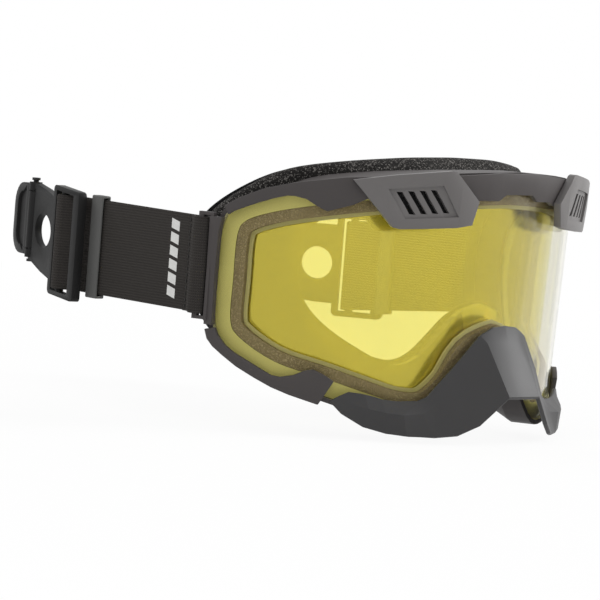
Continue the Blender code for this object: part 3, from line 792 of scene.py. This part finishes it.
@dataclass
class FrameShell:
    """The moulded frame with its rims, vents, outriggers and nose guard."""

    cone: LensCone
    rim_edge: float = 0.0007
    guard_edge: float = 0.0005
    guard_sharp: float = 50.0
    guard_fold: float = 9.0
    eyes: tuple[float, float, float] = (0.0, -0.09, 0.0)
    # Faces that look at the eyes more than this take the painted light.
    inside_facing: float = 0.15
    screen: tuple[tuple[float, float], ...] = ((22.9, 0.0324), (35.1, 0.0299), (30.7, 0.0184), (18.1, 0.0202))
    screen_depth: tuple[float, float] = (0.00306, 0.00324)
    screen_steps: int = 8

    def build(self, finishes: Finishes) -> None:
        """Builds and dresses the frame's pieces.

        Args:
            finishes: the goggles' finishes.
        """
        body = copied("frame_body", "frame_shell", join=True)
        shell = dress(settled(body, SHARP_ANGLE), finishes.frame, BODY, "frame", "frame_body")
        self.line(shell, finishes.inside)
        dress(bevelled("brow_rim", "rim_brow", self.rim_edge), finishes.frame, BODY, "frame", "brow_rim")
        guard = bevelled("nose_guard", "guard_nose", self.guard_edge, self.guard_sharp)
        guard.data.set_sharp_from_angle(angle=radians(self.guard_fold))
        dress(guard, finishes.guard, BODY, "guard", "nose_guard")
        for side in Side:
            self.build_side(side.word, finishes)
            dress(self.vent_screen(side), finishes.screen, BODY, "frame")

    def line(self, shell: bpy.types.Object, finish: bpy.types.Material) -> None:
        """Gives the faces of the frame that look in at the eyes a second, pale yellow finish: painted light, standing
        in for the light that the lens lets in onto its inner walls.

        Args:
            shell: the frame.
            finish: the painted light for its inner walls.
        """
        shell.data.materials.append(finish)
        for face in shell.data.polygons:
            towards = Vector(self.eyes) - face.center
            # Faces turned towards the eyes take the painted light.
            if face.normal.dot(towards.normalized()) > self.inside_facing:
                face.material_index = 1

    def build_side(self, word: str, finishes: Finishes) -> None:
        """Builds and dresses the frame's pieces of one side.

        Args:
            word: the side's word.
            finishes: the goggles' finishes.
        """
        for node, piece, finish, slot, width in (
            ("lower_rim", "rim_lower", finishes.frame, "frame", self.rim_edge),
            ("vent_cover", "vent_top", finishes.vent, "frame", 0.0006),
            ("vent_filter", "vent_pad", finishes.pad, "foam", 0.0005),
            ("outrigger", "strap_arm", finishes.frame, "frame", 0.0005),
        ):
            copy = bevelled(f"{word}_{node}", f"{word}_{piece}", width)
            dress(copy, finish, BODY, slot, f"{word}_{node}")

    def vent_screen(self, side: Side) -> bpy.types.Object:
        """Makes a thin dark screen that closes the slots of one vent cover from behind.

        Args:
            side: the vent's side.

        Returns:
            The new object.
        """
        corners = [Vector((side.value * radians(t) * self.cone.radius, z)) for t, z in self.screen]
        first, last, low_last, low_first = corners
        back, front = self.screen_depth
        sections = []
        for step in range(self.screen_steps + 1):
            share = step / self.screen_steps
            top, bottom = first.lerp(last, share), low_first.lerp(low_last, share)
            sections.append([self.cone.on(top, back), self.cone.on(top, front),
                             self.cone.on(bottom, front), self.cone.on(bottom, back)])
        return settled(skin(f"{side.word}_vent_screen", sections, False), STRIP_ANGLE)


@dataclass
class FaceFoam:
    """The thick foam ring and the fleece on its back."""

    levels: int = 2
    swell: float = 0.6
    fill: float = 0.8

    def rounded(self, node: str, name: str) -> bpy.types.Object:
        """Makes a smooth padded form from a CAD ring.

        Args:
            node: the CAD node.
            name: the new piece.

        Returns:
            The new object.
        """
        obj = copied(node, name, join=True)
        surface = obj.modifiers.new("round", "SUBSURF")
        surface.levels = self.levels
        surface.render_levels = self.levels
        bpy.context.view_layer.update()
        drawn_in = obj.evaluated_get(bpy.context.evaluated_depsgraph_get()).data
        shifts = [corner.co - drawn_in.vertices[corner.index].co for corner in obj.data.vertices]
        for corner, shift in zip(obj.data.vertices, shifts):
            corner.co += shift * self.swell
        return settled(obj, FOAM_ANGLE)

    def build(self, finishes: Finishes) -> None:
        """Builds and dresses the foam and its lining.

        Args:
            finishes: the goggles' finishes.
        """
        foam = dress(self.rounded("face_foam", "foam_ring"), finishes.foam, BODY, "foam", "face_foam")
        fleece = dress(self.rounded("face_lining", "foam_fleece"), finishes.lining, BODY, "lining", "face_lining")


@dataclass
class Strap:
    """One strap with its folded ends, stitches, keeper and helmet clip."""

    side: Side
    inward: float
    slope: float
    length: float = 0.0814
    height: float = 0.0374
    thickness: float = 0.0015
    centre: float = 0.00275
    fold: float = 0.0085
    fold_share: float = 0.72
    fold_rise: float = 1.15
    tuck: float = 0.0001
    edge_share: float = 0.8
    bends: range = range(40, 271, 23)
    stations: tuple[float, ...] = (0.02, 0.035, 0.05)
    loop_ends: tuple[float, float] = (0.012, 0.005)
    path_steps: int = 4
    stitch_rows: tuple[float, float] = (0.0015, 0.0032)
    stitch_count: int = 15
    stitch_span: float = 0.9
    stitch_radius: float = 0.00022
    stitch_length: float = 0.0008
    mark_at: float = 0.0150
    mark_width: float = 0.0046
    mark_count: int = 6
    mark_span: float = 0.84
    mark_share: float = 0.72
    mark_lean: float = 0.25
    mark_lift: float = 0.00002
    mark_depth: float = 0.00008
    post: Vector = field(init=False)

    def __post_init__(self) -> None:
        """Takes the place of the post from the joint that the strap swings on."""
        name = f"{self.side.word}_strap_swing"
        joint = next(j for j in frame["record"]["behaviour"]["joints"] if j["name"] == name)
        self.post = Vector(joint["pos_m"])

    def world(self, along: float, across: float, up: float) -> Vector:
        """A place on the strap: along it from the post, outwards across it and up.

        Args:
            along: distance from the post.
            across: distance outwards from the line between the loops.
            up: height over the strap's middle line.

        Returns:
            The place in the row frame.
        """
        turn = radians(self.inward)
        sideways = across * cos(turn) - along * sin(turn)
        backwards = along * cos(turn) + across * sin(turn)
        return self.post + Vector((self.side.value * sideways, backwards, up + self.slope * along))

    def path(self) -> list[Vector]:
        """Draws the strap's middle line seen from above, from one folded end to the other.

        Returns:
            The line's points: distance from the post and distance outwards.
        """
        end = [Vector((self.fold, -self.centre + self.thickness + self.tuck)),
               Vector((self.fold * self.fold_share, -self.centre + self.thickness * self.fold_rise))]
        turns = [radians(bend) for bend in self.bends]
        end += [Vector((self.centre * cos(turn), self.centre * sin(turn))) for turn in turns]
        span = [self.loop_ends[1], self.fold, *self.stations, *(self.length - x for x in self.loop_ends)]
        other = [Vector((self.length - p.x, p.y)) for p in end]
        return smooth(end + [Vector((x, -self.centre)) for x in span] + other[::-1], self.path_steps)

    def band(self) -> bpy.types.Object:
        """Makes the webbing itself: a ribbon with soft edges that follows the path.

        Returns:
            The new object.
        """
        path = self.path()
        half = self.thickness / 2
        tall = self.height / 2
        soft = half * self.edge_share
        profile = ((half, -tall + soft), (half, 0), (half, tall - soft), (half * 0.5, tall), (-half * 0.5, tall),
                   (-half, tall - soft), (-half, 0), (-half, -tall + soft), (-half * 0.5, -tall),
                   (half * 0.5, -tall))
        sections, lengths, run = [], [], 0.0
        for index, point in enumerate(path):
            before, after = path[max(index - 1, 0)], path[min(index + 1, len(path) - 1)]
            along = (after - before).normalized()
            normal = Vector((-along.y, along.x))
            run += (point - path[index - 1]).length if index else 0.0
            lengths.append(run)
            places = [(point + normal * out, up) for out, up in profile]
            sections.append([self.world(place.x, place.y, up) for place, up in places])
        return settled(skin(f"{self.side.word}_webbing", sections, False, lengths), STRIP_ANGLE)

    def stitches(self, tree: StitchTree, thread: bpy.types.Material) -> bpy.types.Object:
        """Sews two rows of stitches across the fold at the post and one across the other.

        Args:
            tree: the stitches' Geometry Nodes tree.
            thread: the thread's material.

        Returns:
            The new object.
        """
        outer = -self.centre + self.thickness * 1.5 + 2 * self.tuck
        near, far = self.stitch_rows
        places = []
        for row in (self.fold - near, self.fold - far, self.length - self.fold + near):
            for index in range(self.stitch_count):
                up = (index / (self.stitch_count - 1) - 0.5) * self.height * self.stitch_span
                places.append(self.world(row, outer, up))
        return tree.sew(f"{self.side.word}_stitches", places, self.stitch_radius, self.stitch_length, thread)

    def mark(self, work: bmesh.types.BMesh, index: int, outer: float) -> None:
        """Adds one printed bar.

        Args:
            work: the mesh that it is added to.
            index: its number, from the bottom.
            outer: where its inner face lies across the strap.
        """
        pitch = self.height * self.mark_span / self.mark_count
        margin = (1 - self.mark_share) / 2
        low, high = (pitch * (index + share) - self.height * self.mark_span / 2 for share in (margin, 1 - margin))
        lean = self.mark_width * self.mark_lean
        end = self.mark_at + self.mark_width
        corners = ((self.mark_at, low), (end, low + lean), (end, high + lean), (self.mark_at, high))
        layers = [[work.verts.new(self.world(along, outer + rise, up)) for along, up in corners]
                  for rise in (0.0, self.mark_depth)]
        for layer in layers:
            work.faces.new(layer)
        for corner in range(4):
            following = (corner + 1) % 4
            work.faces.new((layers[0][corner], layers[0][following], layers[1][following], layers[1][corner]))

    def marks(self) -> bpy.types.Object:
        """Prints plain bars, one above the other, on both faces of the webbing.

        Returns:
            The new object.
        """
        gap = self.thickness / 2 + self.mark_lift
        work = bmesh.new()
        for outer in (gap, -gap - self.mark_depth):
            for index in range(self.mark_count):
                self.mark(work, index, outer - self.centre)
        bmesh.ops.recalc_face_normals(work, faces=work.faces)
        mesh = bpy.data.meshes.new("marks")
        work.to_mesh(mesh)
        work.free()
        return linked(f"{self.side.word}_print", mesh)

    def build(self, finishes: Finishes, tree: StitchTree) -> None:
        """Builds and dresses the strap, its keeper and its clip.

        Args:
            finishes: the goggles' finishes.
            tree: the stitches' Geometry Nodes tree.
        """
        word = self.side.word
        dress(self.band(), finishes.strap, f"{word}_strap", "strap", f"{word}_strap")
        dress(self.stitches(tree, finishes.thread), finishes.thread, f"{word}_strap", "strap")
        dress(self.marks(), finishes.mark, f"{word}_strap", "strap")
        for node, piece, finish, body, slot, width in (
            ("keeper", "slider", finishes.keeper, "keeper", "keeper", 0.0006),
            ("clip_base", "clip_ring", finishes.clip, "clip", "clip", 0.0005),
            ("clip_latch", "clip_paddle", finishes.clip, "latch", "clip", 0.0005),
            ("clip_pin", "clip_rod", finishes.pin, "clip", "pin", 0.0003),
        ):
            copy = bevelled(f"{word}_{node}", f"{word}_{piece}", width)
            dress(copy, finish, f"{word}_{body}", slot, f"{word}_{node}")


@dataclass
class Studio:
    """A white sweep, soft lamps and the camera."""

    azimuth: float = -47.7
    elevation: float = 4.0
    roll: float = 4.5
    distance: float = 2.1
    lens: float = 323.0
    sensor: float = 36.0
    reach: float = 50.0
    pixel: float = 0.00039
    middle: float = 300.0
    apex: tuple[float, float, float] = (0.0, -0.0975, 0.0)
    apex_pixel: tuple[float, float] = (506.4, 270.0)
    floor: float = -0.068
    floor_half: float = 6.0
    floor_grey: float = 0.9
    sky: float = 0.50
    floor_white: float = 0.93
    shadow_reach: float = 0.25
    shadow_fade: float = 0.5

    def axes(self) -> tuple[Vector, Vector, Vector]:
        """Works out the camera's directions.

        Returns:
            Its right, up and back.
        """
        a, e, r = radians(self.azimuth), radians(self.elevation), radians(self.roll)
        back = Vector((sin(a) * cos(e), -cos(a) * cos(e), sin(e)))
        right = Vector((cos(a), sin(a), 0))
        up = back.cross(right)
        return right * cos(r) + up * sin(r), up * cos(r) - right * sin(r), back

    def camera(self) -> None:
        """Sets the camera so that the apex of the lens falls on its pixel."""
        right, up, back = self.axes()
        data = bpy.data.cameras.new("camera")
        data.lens = self.lens
        data.sensor_width = self.sensor
        data.clip_end = self.reach
        obj = bpy.data.objects.new("camera", data)
        bpy.context.scene.collection.objects.link(obj)
        x, y = ((pixel - self.middle) * self.pixel for pixel in self.apex_pixel)
        place = Vector(self.apex) - right * x + up * y + back * self.distance
        obj.matrix_world = Matrix((
            (right.x, up.x, back.x, place.x),
            (right.y, up.y, back.y, place.y),
            (right.z, up.z, back.z, place.z),
            (0, 0, 0, 1),
        ))
        bpy.context.scene.camera = obj

    @staticmethod
    def seen(graph: Graph) -> Wire:
        """Tells rays that show the backdrop from those that light things.

        Args:
            graph: the material's graph.

        Returns:
            1 for rays from the camera, a gloss or a glass, and 0 for others.
        """
        path = graph.node("ShaderNodeLightPath").outputs
        total = Wire(graph, path["Is Camera Ray"]) + Wire(graph, path["Is Glossy Ray"])
        return (total + Wire(graph, path["Is Transmission Ray"])).clamped()

    def backdrop(self) -> None:
        """Makes the white world and the pale floor."""
        world = bpy.data.worlds.new("studio")
        bpy.context.scene.world = world
        world.use_nodes = True
        graph = Graph("floor_white")
        seen = self.seen(graph)
        grey = self.floor_grey
        matt = graph.node("ShaderNodeBsdfDiffuse", {}, {"Color": (grey, grey, grey, 1.0)})
        white = graph.node("ShaderNodeEmission", {}, {"Color": WHITE, "Strength": 1.0})
        away = graph.node("ShaderNodeVectorMath", {"operation": "LENGTH"}, {0: graph.spot()})
        fade = ((Wire(graph, away.outputs["Value"]) - self.shadow_reach) / self.shadow_fade).clamped()
        share = seen * (fade * (1.0 - self.floor_white) + self.floor_white)
        both = graph.node("ShaderNodeMixShader", {}, {0: share, 1: matt.outputs[0], 2: white.outputs[0]})
        mesh = bpy.data.meshes.new("floor")
        half = self.floor_half
        corners = ((-half, -half), (half, -half), (half, half), (-half, half))
        mesh.from_pydata([(x, y, self.floor) for x, y in corners], [], [(0, 1, 2, 3)])
        mesh.materials.append(graph.finish(both.outputs[0]))
        linked("floor", mesh)
        tree = world.node_tree
        tree.nodes.clear()
        path = tree.nodes.new("ShaderNodeLightPath")
        sums = [tree.nodes.new("ShaderNodeMath") for _ in range(2)]
        for node in sums:
            node.operation = "ADD"
            node.use_clamp = True
        strength = tree.nodes.new("ShaderNodeMapRange")
        light = tree.nodes.new("ShaderNodeBackground")
        end = tree.nodes.new("ShaderNodeOutputWorld")
        for source, target in (
            (path.outputs["Is Camera Ray"], sums[0].inputs[0]),
            (path.outputs["Is Glossy Ray"], sums[0].inputs[1]),
            (sums[0].outputs[0], sums[1].inputs[0]),
            (path.outputs["Is Transmission Ray"], sums[1].inputs[1]),
            (sums[1].outputs[0], strength.inputs["Value"]),
            (strength.outputs[0], light.inputs["Strength"]),
            (light.outputs[0], end.inputs["Surface"]),
        ):
            tree.links.new(source, target)
        strength.inputs["To Min"].default_value = self.sky
        strength.inputs["To Max"].default_value = 1.0
        light.inputs["Color"].default_value = WHITE

    def lamps(self) -> None:
        """Sets the soft lamps round the goggles."""
        for name, place, size, power in (
            ("key", (1.9, -1.15, 1.1), 1.0, 44.0),
            ("fill", (-1.6, -0.6, 1.3), 1.2, 7.0),
            ("rim", (-0.6, 1.3, 1.3), 0.9, 8.0),
        ):
            data = bpy.data.lights.new(name, "AREA")
            data.size = size
            data.energy = power
            obj = bpy.data.objects.new(name, data)
            obj.location = place
            obj.rotation_mode = "QUATERNION"
            obj.rotation_quaternion = (-Vector(place)).to_track_quat("-Z", "Y")
            bpy.context.scene.collection.objects.link(obj)

    def build(self) -> None:
        """Builds the studio."""
        bpy.context.scene.view_settings.view_transform = "Standard"
        self.camera()
        self.backdrop()
        self.lamps()


def main() -> None:
    """Dresses the goggles and sets the studio round them."""
    logging.basicConfig(level=logging.INFO, format="%(name)s %(message)s")
    finishes = Finishes()
    cone = LensCone()
    LensStack(cone).build(finishes)
    FrameShell(cone).build(finishes)
    FaceFoam().build(finishes)
    tree = StitchTree()
    Strap(Side.LEFT, inward=4.4, slope=0.012).build(finishes, tree)
    Strap(Side.RIGHT, inward=12.0, slope=-0.09).build(finishes, tree)
    Studio().build()


if __name__ == "__main__":
    main()
